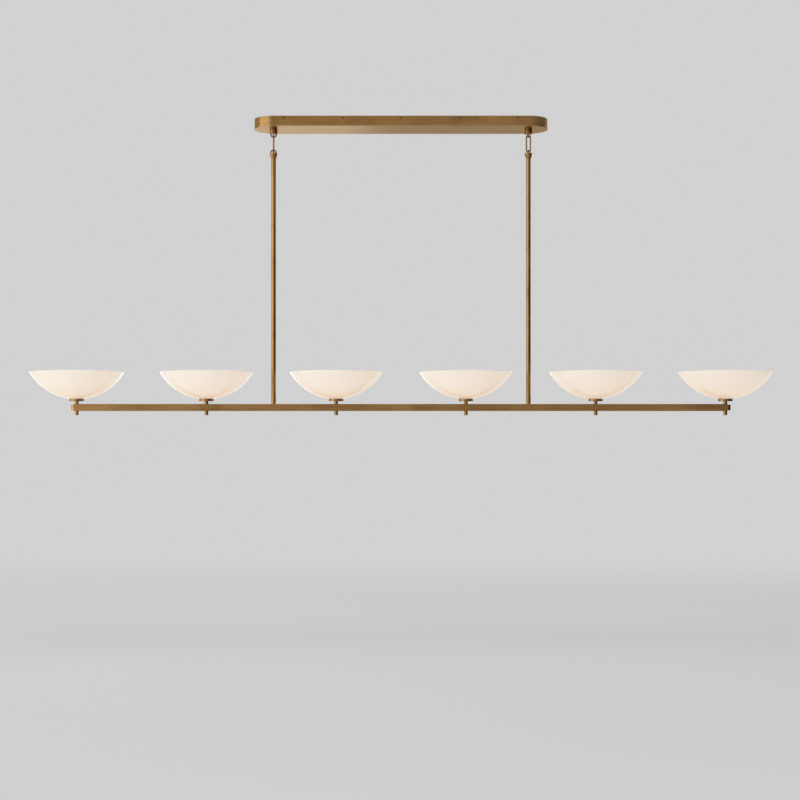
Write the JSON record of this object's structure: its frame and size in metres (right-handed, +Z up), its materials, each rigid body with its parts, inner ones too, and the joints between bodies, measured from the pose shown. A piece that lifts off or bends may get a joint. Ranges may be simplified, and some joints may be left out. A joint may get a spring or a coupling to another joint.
{
  "type": "linear island pendant",
  "caption": "Ceiling pendant light with a row of shallow opal glass uplight bowls on a square brass bar, hung from a long oval canopy by rods and chain links.",
  "frame": {"origin": "centre of the ceiling plate's face against the ceiling, on the axis between its two box-screw slots", "axes": "+X along the crossbar to the right as seen from the front, +Y away from the viewer, +Z up into the ceiling"},
  "size_m": [2.032, 0.254, 0.8109],
  "materials": {
    "aged_brass": "warm aged brass, finely brushed along each piece's length",
    "dark_screw_brass": "darkened brass",
    "opal_glass": "creamy opal glass, satin outside, closed to view and letting light through",
    "lamp_glass": "frosted",
    "lampholder_ceramic": "glazed",
    "plated_steel": "zinc plated",
    "terminal_plastic": "matte",
    "gasket_rubber": "matte translucent silicone",
    "line_insulation": "matte",
    "neutral_insulation": "matte"
  },
  "bodies": {
    "ceiling_set": {"ceiling_plate": "plated_steel", "canopy_band": "aged_brass", "canopy_face": "aged_brass", "canopy_side_screws": "dark_screw_brass", "terminal_block": "terminal_plastic", "terminal_screws": "plated_steel", "earth_screw": "plated_steel", "left_hanger_collar": "aged_brass", "right_hanger_collar": "aged_brass", "left_hanger_loop": "aged_brass", "right_hanger_loop": "aged_brass", "hanger_washers": "plated_steel", "hanger_nuts": "plated_steel"},
    "left_link": {"left_link": "aged_brass"},
    "right_link": {"right_link": "aged_brass"},
    "hanging_frame": {"bowl_gaskets": "gasket_rubber", "bowl_nuts": "aged_brass", "bowl_seat_1": "aged_brass", "bowl_seat_2": "aged_brass", "bowl_seat_3": "aged_brass", "bowl_seat_4": "aged_brass", "bowl_seat_5": "aged_brass", "bowl_seat_6": "aged_brass", "bowl_stems": "plated_steel", "crossbar": "aged_brass", "glass_bowl_1": "opal_glass", "glass_bowl_2": "opal_glass", "glass_bowl_3": "opal_glass", "glass_bowl_4": "opal_glass", "glass_bowl_5": "opal_glass", "glass_bowl_6": "opal_glass", "lamp_1": "lamp_glass", "lamp_2": "lamp_glass", "lamp_3": "lamp_glass", "lamp_4": "lamp_glass", "lamp_5": "lamp_glass", "lamp_6": "lamp_glass", "lampholder_1": "lampholder_ceramic", "lampholder_2": "lampholder_ceramic", "lampholder_3": "lampholder_ceramic", "lampholder_4": "lampholder_ceramic", "lampholder_5": "lampholder_ceramic", "lampholder_6": "lampholder_ceramic", "left_end_cap": "aged_brass", "left_lower_rod": "aged_brass", "left_rod_coupling": "aged_brass", "left_rod_foot": "aged_brass", "left_rod_loop": "aged_brass", "left_upper_rod": "aged_brass", "line_wiring": "line_insulation", "neutral_wiring": "neutral_insulation", "right_end_cap": "aged_brass", "right_lower_rod": "aged_brass", "right_rod_coupling": "aged_brass", "right_rod_foot": "aged_brass", "right_rod_loop": "aged_brass", "right_upper_rod": "aged_brass", "rod_lock_nuts": "plated_steel", "rod_nipples": "plated_steel", "stem_cap_nuts": "aged_brass"}
  },
  "joints": [
    {"name": "left_link_swing", "type": "hinge", "parent": "ceiling_set", "child": "left_link", "pos_m": [-0.34925, 0, -0.0492], "axis": [1, 0, 0], "range_deg": [-15, 15]},
    {"name": "frame_swing", "type": "hinge", "parent": "left_link", "child": "hanging_frame", "pos_m": [-0.34925, 0, -0.0846], "axis": [1, 0, 0], "range_deg": [-15, 15]},
    {"name": "right_link_swing", "type": "hinge", "parent": "ceiling_set", "child": "right_link", "pos_m": [0.34925, 0, -0.0449], "axis": [1, 0, 0], "range_deg": [-15, 15]}
  ],
  "couplings": [
    {"joint": "right_link_swing", "follows": "left_link_swing", "ratio": 0.90294}
  ]
}
